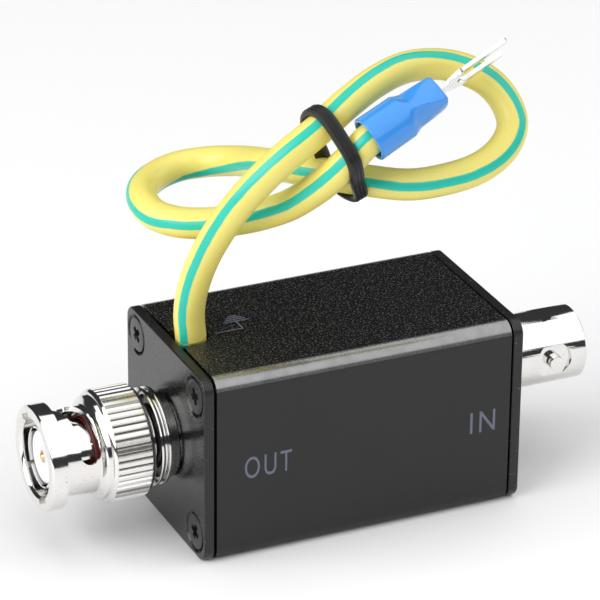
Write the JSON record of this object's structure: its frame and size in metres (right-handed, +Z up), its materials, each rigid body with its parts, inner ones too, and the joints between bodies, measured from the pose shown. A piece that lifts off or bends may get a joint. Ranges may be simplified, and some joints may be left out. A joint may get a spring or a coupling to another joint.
{
  "type": "coax lightning arrestor",
  "caption": "Coaxial lightning arrestor: black extruded box with a bayonet plug, a bayonet jack and a tied yellow-green earth lead ending in a blue fork terminal",
  "frame": {"origin": "middle of the box's bottom face", "axes": "X along the connectors, plug (OUT) at -X and jack (IN) at +X; Y across, front face at -Y; Z up, earth lead leaves the top"},
  "size_m": [0.0744, 0.0346, 0.0641],
  "materials": {
    "black_aluminium": "satin",
    "black_steel": "satin",
    "bright_nickel": "gloss",
    "spring_steel": "satin",
    "gold_plate": "gloss",
    "white_insulator": "matte",
    "red_rubber": "matte",
    "board_laminate": "satin",
    "ceramic": "matte",
    "black_epoxy": "matte",
    "earth_yellow": "satin",
    "tie_black": "satin",
    "sleeve_blue": "gloss",
    "tinned_copper": "gloss"
  },
  "bodies": {
    "arrestor": {"housing": "black_aluminium", "end_plate_out": "black_aluminium", "end_plate_in": "black_aluminium", "out_screw_1": "black_steel", "out_screw_2": "black_steel", "out_screw_3": "black_steel", "out_screw_4": "black_steel", "in_screw_1": "black_steel", "in_screw_2": "black_steel", "in_screw_3": "black_steel", "in_screw_4": "black_steel", "plug_body": "bright_nickel", "plug_insulator": "white_insulator", "plug_pin": "gold_plate", "plug_gasket": "red_rubber", "wave_washer": "spring_steel", "plug_lock_washer": "spring_steel", "plug_hex_nut": "bright_nickel", "jack_body": "bright_nickel", "jack_insulator": "white_insulator", "jack_contact": "gold_plate", "jack_lock_washer": "spring_steel", "jack_hex_nut": "bright_nickel", "circuit_board": "board_laminate", "gas_discharge_tube": "ceramic", "series_resistor": "ceramic", "clamp_diode_1": "black_epoxy", "clamp_diode_2": "black_epoxy", "clamp_block": "black_epoxy", "choke": "black_epoxy", "earth_lead_inner": "earth_yellow", "earth_wire": "earth_yellow", "wire_tie": "tie_black", "terminal_sleeve": "sleeve_blue", "fork_terminal": "tinned_copper"},
    "nut_float": {"retaining_ring": "spring_steel", "thrust_washer": "spring_steel"},
    "nut_turn": {"coupling_nut": "bright_nickel"}
  },
  "joints": [
    {"name": "nut_float_slide", "type": "slide", "parent": "arrestor", "child": "nut_float", "axis": [-1, 0, 0], "range_m": [0, 0.0005], "stiffness_N_per_m": 3000},
    {"name": "coupling_nut_turn", "type": "hinge", "parent": "nut_float", "child": "nut_turn", "pos_m": [-0.031, 0, 0.0125], "axis": [-1, 0, 0], "continuous": true}
  ]
}
